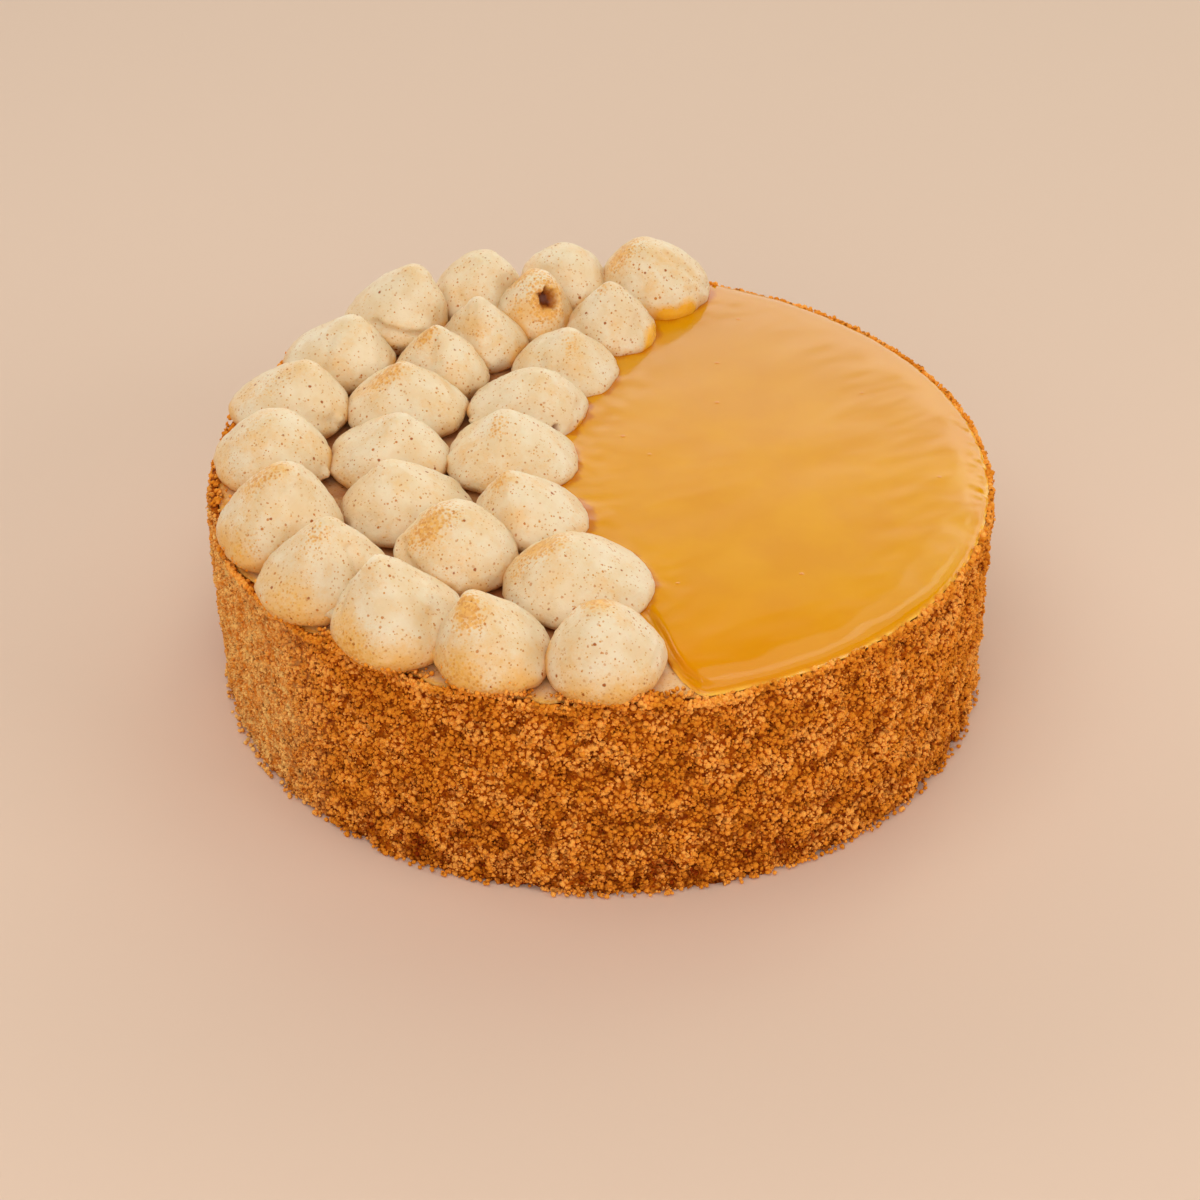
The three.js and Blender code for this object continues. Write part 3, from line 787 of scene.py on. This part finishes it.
# ---- Crumb grains ----
# Broken biscuit, rubbed to grains of 0.5 to 1.9 mm and pressed onto the wall, so each stands out by about
# half. They heap up along the rim, spill onto the cream and stick to the feet of the outer dollops. They
# come in four bakes, from pale to dark, and each bake is one piece.
rng = np.random.default_rng(11)
GOLDEN = (1 + 5 ** 0.5) / 2
LUMP = np.array([
    [-1, GOLDEN, 0], [1, GOLDEN, 0], [-1, -GOLDEN, 0], [1, -GOLDEN, 0],
    [0, -1, GOLDEN], [0, 1, GOLDEN], [0, -1, -GOLDEN], [0, 1, -GOLDEN],
    [GOLDEN, 0, -1], [GOLDEN, 0, 1], [-GOLDEN, 0, -1], [-GOLDEN, 0, 1],
]) / math.hypot(1, GOLDEN)
LUMP_FACES = np.array([
    [0, 11, 5], [0, 5, 1], [0, 1, 7], [0, 7, 10], [0, 10, 11], [1, 5, 9], [5, 11, 4], [11, 10, 2], [10, 7, 6],
    [7, 1, 8], [3, 9, 4], [3, 4, 2], [3, 2, 6], [3, 6, 8], [3, 8, 9], [4, 9, 5], [2, 4, 11], [6, 2, 10],
    [8, 6, 7], [9, 8, 1],
])
CHIP = np.array([[1, 0, 0], [0, 1, 0], [-1, 0, 0], [0, -1, 0], [0, 0, 1], [0, 0, -1]]) * 1.15
CHIP_FACES = np.array([
    [0, 1, 4], [1, 2, 4], [2, 3, 4], [3, 0, 4], [1, 0, 5], [2, 1, 5], [3, 2, 5], [0, 3, 5],
])
LEAST_LUMP = 0.95


def random_turns(count):
    """Random rotation matrices."""
    q = rng.normal(size=(count, 4))
    q /= np.linalg.norm(q, axis=1)[:, None]
    w, x, y, z = q.T
    return np.stack([
        np.stack([1 - 2 * (y * y + z * z), 2 * (x * y - z * w), 2 * (x * z + y * w)], axis=-1),
        np.stack([2 * (x * y + z * w), 1 - 2 * (x * x + z * z), 2 * (y * z - x * w)], axis=-1),
        np.stack([2 * (x * z - y * w), 2 * (y * z + x * w), 1 - 2 * (x * x + y * y)], axis=-1),
    ], axis=1)


def add_grains(name, centres, sizes):
    """One piece of many closed grains: the larger are rounded lumps and the finer are angular chips. Each is
    jittered and turned its own way, and it keeps how flat it is pressed and a painted shade from how far it
    stands out."""
    all_points, all_faces, all_pressed, all_cavity_shade = [], [], [], []
    start = 0
    for corners, faces, jitter, chosen in (
        (LUMP, LUMP_FACES, 0.4, sizes >= LEAST_LUMP), (CHIP, CHIP_FACES, 0.6, sizes < LEAST_LUMP)
    ):
        places = centres[chosen]
        count, each = len(places), len(corners)
        shapes = corners[None] * (1 + jitter * (rng.random((count, each, 1)) - 0.5))
        shapes = shapes * rng.uniform(0.75, 1.25, (count, 1, 3))
        shapes = np.einsum("nij,nkj->nki", random_turns(count), shapes)
        points = places[:, None] + shapes * (sizes[chosen] / 2)[:, None, None]
        flat = pressed_flat(np.arctan2(places[:, 1], places[:, 0]), places[:, 2]) * (places[:, 2] < 57)
        # painted shade: the deeper a point lies in the wall the darker it is painted, and grains high on the
        # rim are painted lighter
        cavity_shade = np.hypot(points[..., 0] - wall_centre(points[..., 2]), points[..., 1])
        cavity_shade = np.maximum((cavity_shade - 98.0) / 3.2, ease(56.6, 57.8, points[..., 2]))
        all_points.append(points.reshape(-1, 3))
        all_faces.append((faces[None] + start + each * np.arange(count)[:, None, None]).reshape(-1, 3))
        all_pressed.append(np.repeat(flat, each))
        all_cavity_shade.append((cavity_shade + 0.3 * (rng.random((count, 1)) - 0.5)).ravel())
        start += count * each
    made = add_mesh(name, np.concatenate(all_points), np.concatenate(all_faces))
    set_values(made, "pressed", np.concatenate(all_pressed))
    set_values(made, "cavity_shade", np.concatenate(all_cavity_shade))
    return made


# the wall: larger grains packed close, with pits where some have dropped out, and finer ones caught between
grain_sets = []
# spacing, least size, range of sizes, and how much further out they sit, in mm
for spacing, least, more, lift in ((1.3, 1.05, 0.8, 0.0), (1.0, 0.5, 0.44, 0.4)):
    rows = int(57 / spacing)
    columns = int(2 * math.pi * 100 / spacing)
    grid_row, grid_column = np.meshgrid(np.arange(rows), np.arange(columns), indexing="ij")
    count = grid_row.size
    azimuth = (grid_column.ravel() + rng.random(count)) / columns * 2 * math.pi
    height = 0.5 + (grid_row.ravel() + rng.random(count)) / rows * (rim_height(azimuth) - 1.0)
    face = around(wall_radius(height), azimuth, height)
    flat = pressed_flat(azimuth, height)
    wall_sizes = (least + more * rng.random(count)) * (1 - 0.3 * flat)
    radius = wall_radius(height) - 0.8 + lift + (1 - 0.5 * flat) * clumps(face)
    radius += 0.5 * (rng.random(count) - 0.5) - 0.5 * ease(2.0, 0.2, rim_height(azimuth) - height)
    wall_grains = around(radius, azimuth, height)
    wall_grains[:, 0] += wall_centre(height)
    keep = (rng.random(count) > 0.06) & (field(face, 1.7, 7) < 0.42 + 0.3 * flat)
    grain_sets.append((wall_grains[keep], wall_sizes[keep]))

# the heap along the rim: high before the dollops' feet, low along the edge of the glaze
LAYER = 0.62  # how much higher each layer lies, and where the lowest one starts
HEAP_FOOT = 57.6
count = 7600
azimuth = rng.random(count) * 2 * math.pi
radius = CREAM_RADIUS + 3.6 * rng.random(count)
layer = rng.integers(0, 5, count)
by_glaze = ease(0.2, 0.35, np.cos(azimuth + math.radians(3)))
heap = 2.1 + 1.7 * field(around(100.0, azimuth, 0.0), 4.0, 8) - 0.4 * (radius - CREAM_RADIUS)
heap = heap - 1.8 * ease(-0.7, -0.82, np.cos(azimuth)) * ease(-0.64, -0.5, np.sin(azimuth))
height = HEAP_FOOT + LAYER * layer + 0.3 * rng.random(count)
on_dollops = (LAYER * layer < heap) & (rng.random(count) > 1.2 * uncovered(azimuth))
on_glaze = (radius > 99.3 + 0.25 * layer) & (radius < 100.8)
on_glaze = on_glaze & (LAYER * layer < 1.3 - 0.7 * ease(-0.3, 0.1, np.sin(azimuth)))
keep = np.where(by_glaze > 0.5, on_glaze, on_dollops)
grain_sets.append((around(radius, azimuth, height)[keep], (0.65 + 0.95 * rng.random(count))[keep]))

# the crest of the wall outside the glaze, where the grains stand close together
count = 1300
azimuth = math.radians(RIM_FROM) + rng.random(count) * math.radians(RIM_TO - RIM_FROM)
crest_height = np.maximum(rim_height(azimuth) - 1.1, 57.3)
crest = around(99.6 + 0.9 * rng.random(count), azimuth, crest_height + 0.8 * rng.random(count))
grain_sets.append((crest, 0.7 + 0.6 * rng.random(count)))

# the edge of the bare cream in the gaps, where the crumb of the wall just covers it
count = 3600
azimuth = math.radians(180) + rng.random(count) * math.radians(115)
keep = rng.random(count) < 1.4 * uncovered(azimuth)
edge_grains = around(100.2 + 1.0 * rng.random(count), azimuth, 56.6 + 1.5 * rng.random(count))
grain_sets.append((edge_grains[keep], (0.6 + 0.7 * rng.random(count))[keep]))

# the spill over the cream, in drifts
count = 1700
azimuth = math.radians(80) + rng.random(count) * math.radians(215)
inwards = rng.random(count) ** 1.5 * 6
drift = field(around(95.0, azimuth, 0.0), 9.0, 9)
keep = rng.random(count) < ease(4.5 + 5 * drift, 0.5, inwards) * (1 - uncovered(azimuth))
height = CREAM_TOP + 0.35 + 0.5 * rng.random(count) * ease(3, 0, inwards)
spilt_sizes = 0.5 + 0.7 * rng.random(count) ** 1.5
grain_sets.append((around(97.8 - inwards, azimuth, height)[keep], spilt_sizes[keep]))

# the foot of the wall
count = 800
azimuth = rng.random(count) * 2 * math.pi
foot_grains = around(98.6 + 2.2 * rng.random(count) ** 1.3, azimuth, 0.6 + 0.5 * rng.random(count))
foot_grains[:, 0] += FOOT_SHIFT
grain_sets.append((foot_grains, 0.8 + 0.6 * rng.random(count)))

# grains that stick to the feet of the outer dollops
outer = np.concatenate([d["rings"][:14].reshape(-1, 3) for d in dollops[:12]])
chance = ease(96.5, 101, np.hypot(outer[:, 0], outer[:, 1])) * ease(65, 59, outer[:, 2])
stuck = outer[rng.random(len(outer)) < 0.2 * chance]
grain_sets.append((stuck, 0.4 + 0.7 * rng.random(len(stuck)) ** 2))
bank = 60.2 + 1.8 * field(outer * [1, 1, 0], 3.6, 13)
banked = ease(98.0, 99.5, np.hypot(outer[:, 0], outer[:, 1])) * (outer[:, 2] < bank)
banked = banked * ease(-0.5, -0.66, outer[:, 1] / 100)
banked *= 1 - uncovered(np.arctan2(outer[:, 1], outer[:, 0]))
heaped = outer[rng.random(len(outer)) < 0.7 * banked]
grain_sets.append((heaped, 0.7 + 0.9 * rng.random(len(heaped))))

centres = np.concatenate([pair[0] for pair in grain_sets])
sizes = np.concatenate([pair[1] for pair in grain_sets])
bake = 0.5 * rng.random(len(centres)) + 0.7 * field(centres, 7.0, 5)
bake += 0.25 * pressed_flat(np.arctan2(centres[:, 1], centres[:, 0]), centres[:, 2])
kind = np.digitize(bake, np.quantile(bake, [0.25, 0.5, 0.75]))
# From the darkest bake to the palest, each with its buried colour, which is painted shade, and its outer
# colour.
BAKES = [
    ("dark", "8A2C00", "E28820"), ("brown", "943400", "EC922A"), ("golden", "A03C00", "F49C36"),
    ("pale", "AC4600", "FCAC4A"),
]
for order, (bake_name, deep, light) in enumerate(BAKES):
    made = add_grains(bake_name + "_crumbs", centres[kind == order], sizes[kind == order])
    made.data.materials.append(crumb_material("toasted_biscuit_" + bake_name, deep, light, 0.45, 1.0, 0.6))
    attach(made, "root")

# ---- Floor and light ----
# A plain peach-coloured floor, and soft light from large panels overhead, in front and on the right. A
# pale wall of light behind shows in the glaze, and a high strip behind draws the sheen along its front rim.
FLOOR = 3000
floor_corners = [(-FLOOR, -FLOOR, 0), (FLOOR, -FLOOR, 0), (FLOOR, FLOOR, 0), (-FLOOR, FLOOR, 0)]
floor = add_mesh("floor", floor_corners, [(0, 1, 2, 3)])
# Matt paper: it takes soft shadows and shows no shine.
floor_shade = bpy.data.materials.new("matt_paper_floor")
floor_shade.use_nodes = True
shader = floor_shade.node_tree.nodes["Principled BSDF"]
shader.inputs["Base Color"].default_value = linear("E0C1A8")
shader.inputs["Roughness"].default_value = 0.9
floor.data.materials.append(floor_shade)


def add_light(name, size, place, towards, power, roll=0, colour=(1, 1, 1)):
    """A soft rectangular panel of light, in metres, rolled about its own axis by some degrees."""
    data = bpy.data.lights.new(name, "AREA")
    data.shape = "RECTANGLE"
    data.size, data.size_y = size
    data.energy = power
    data.color = colour
    made = bpy.data.objects.new(name, data)
    facing = (Vector(towards) - Vector(place)).to_track_quat("-Z", "Y")
    turned = facing.to_matrix().to_4x4() @ Matrix.Rotation(math.radians(roll), 4, "Z")
    made.matrix_world = Matrix.Translation(place) @ turned
    scene.collection.objects.link(made)


add_light("overhead_panel", (1.6, 1.2), (-0.3, -0.45, 1.5), (0, 0, 0.03), 9.8)
add_light("front_panel", (1.8, 1.1), (-0.3, -1.7, 0.9), (0, 0, 0.03), 10.3)
add_light("right_panel", (1.0, 0.9), (1.6, -0.7, 0.8), (0, 0, 0.03), 8.8)
add_light("high_strip", (0.8, 0.2), (0.39, 0.94, 1.29), (0, 0, 0.06), 0.75, 68, (0.8, 1, 0.86))
add_light("high_strip_halo", (1.0, 0.75), (0.41, 0.9, 1.25), (0, 0, 0.06), 2.2, 68, (0.8, 1, 0.86))
# The room: an even glow all round, a bright wall behind up to 36 degrees, and above it a dark gap.
room = bpy.data.worlds.new("soft_room")
scene.world = room
room.use_nodes = True
way = add_node(room, "TexCoord", {})
parts = add_node(room, "SeparateXYZ", {"Vector": way.outputs["Generated"]})
wall_glow = add_node(room, "ValToRGB", {"Fac": parts.outputs["Z"]})
stops = [
    (0.0, 0.4), (0.3, 0.5), (0.42, 0.68), (0.49, 0.7), (0.517, 0.54), (0.545, 0.3), (0.575, 0.17),
    (0.6, 0.08), (0.63, 0.01), (0.8, 0.01), (0.92, 0.15),
]
while len(wall_glow.color_ramp.elements) < len(stops):
    wall_glow.color_ramp.elements.new(0.5)
for element, (position, value) in zip(wall_glow.color_ramp.elements, stops):
    element.position = position
    element.color = (value, value, value, 1)
behind_us = add_node(
    room, "MapRange", {"Value": parts.outputs["Y"], "From Min": 0.25, "From Max": 0.5},
    interpolation_type="SMOOTHSTEP",
)
AMBIENT = (0.09, 0.09, 0.09, 1)
glow = add_node(
    room, "Mix", {0: behind_us.outputs["Result"], 6: AMBIENT, 7: wall_glow.outputs["Color"]}, data_type="RGBA"
)
background = room.node_tree.nodes["Background"]
room.node_tree.links.new(glow.outputs[2], background.inputs["Color"])
background.inputs["Strength"].default_value = 3.6
